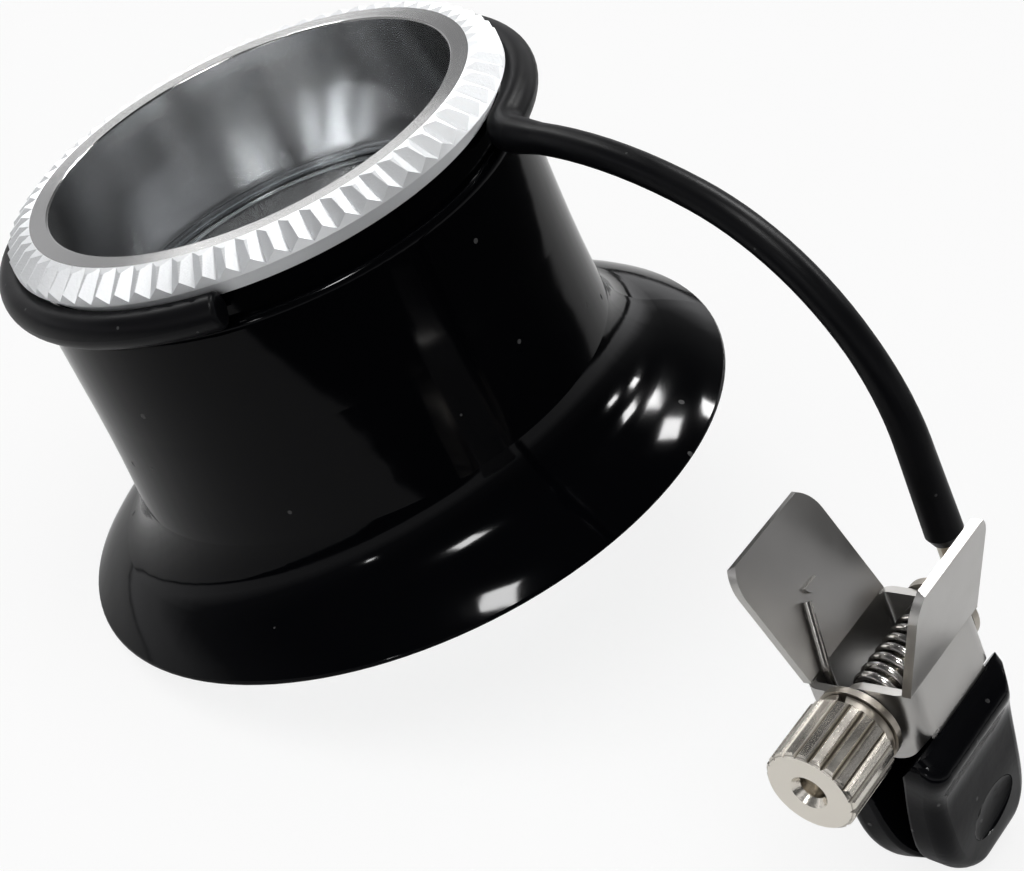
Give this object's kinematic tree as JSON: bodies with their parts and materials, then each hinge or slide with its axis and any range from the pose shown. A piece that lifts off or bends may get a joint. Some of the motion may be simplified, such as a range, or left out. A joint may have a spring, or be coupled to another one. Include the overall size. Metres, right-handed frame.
{
  "type": "clip-on eyeglass loupe",
  "caption": "Flared black eye cup with a screw-in knurled lens mount, a wire arm that swivels round its neck and a sprung rubber-tipped clip on a knurled-nut pivot.",
  "frame": {"origin": "on the optical axis, inside the straight eye bore, 8.4 mm from the plane of the eye rim", "axes": "+Z along the optical axis from the eye rim towards the knurled lens mount; +X and -Y towards the clip, with the picture taken from -Y"},
  "size_m": [0.041, 0.0577, 0.0366],
  "materials": {
    "housing": "moulded, high gloss black",
    "bezel": "turned, satin bright",
    "lens": "polished, anti-reflection coated",
    "snap_ring": "blackened spring steel",
    "wire": "drawn, nickel plated",
    "sleeve": "moulded vinyl, satin black",
    "washers": "stamped, plated",
    "spring_washer": "hardened, darkened",
    "nut": "nickel plated, coarse ribs",
    "plates": "stamped, nickel plated",
    "pads": "dipped, glossy black",
    "spring": "hard drawn wire"
  },
  "bodies": {
    "housing": {"eye_cup_housing": "housing"},
    "lens_group": {"lens": "lens", "lens_snap_ring": "snap_ring"},
    "bezel": {"bezel_ring": "bezel"},
    "arm": {"arm_wire": "wire", "arm_sleeve": "sleeve", "rear_washer": "washers", "flat_washer": "washers"},
    "clip_right": {"jaw_plate_right": "plates", "jaw_pad_right": "pads", "torsion_spring": "spring"},
    "clip_left": {"jaw_plate_left": "plates", "jaw_pad_left": "pads"},
    "nut_washer": {"spring_washer": "spring_washer"},
    "nut": {"knurled_nut": "nut"}
  },
  "joints": [
    {"name": "lens_mount_travel", "type": "slide", "parent": "housing", "child": "lens_group", "axis": [0, 0, 1], "range_m": [0, 0.003]},
    {"name": "lens_mount_turn", "type": "hinge", "parent": "lens_group", "child": "bezel", "pos_m": [0, 0, 0.012], "axis": [0, 0, 1], "range_deg": [0, 1441]},
    {"name": "arm_swivel", "type": "hinge", "parent": "housing", "child": "arm", "pos_m": [0, 0, 0.01075], "axis": [0, 0, 1], "continuous": true},
    {"name": "clip_swing", "type": "hinge", "parent": "arm", "child": "clip_right", "pos_m": [0.01617, -0.03205, -0.01203], "axis": [-0.8059, -0.592, 0], "continuous": true},
    {"name": "jaw_open", "type": "hinge", "parent": "clip_right", "child": "clip_left", "pos_m": [0.01617, -0.03205, -0.01203], "axis": [0.8059, 0.592, 0], "range_deg": [0, 40], "stiffness_Nm_per_rad": 0.03, "springref_deg": -34.38, "deforming": ["torsion_spring"]},
    {"name": "nut_travel", "type": "slide", "parent": "arm", "child": "nut_washer", "axis": [-0.8059, -0.592, 0], "range_m": [0, 0.00125]},
    {"name": "nut_turn", "type": "hinge", "parent": "nut_washer", "child": "nut", "pos_m": [0.01617, -0.03205, -0.01203], "axis": [-0.8059, -0.592, 0], "range_deg": [0, 1801]}
  ],
  "couplings": [
    {"joint": "lens_mount_turn", "follows": "lens_mount_travel", "rad_per_m": 8377.6},
    {"joint": "nut_turn", "follows": "nut_travel", "rad_per_m": 25133}
  ]
}
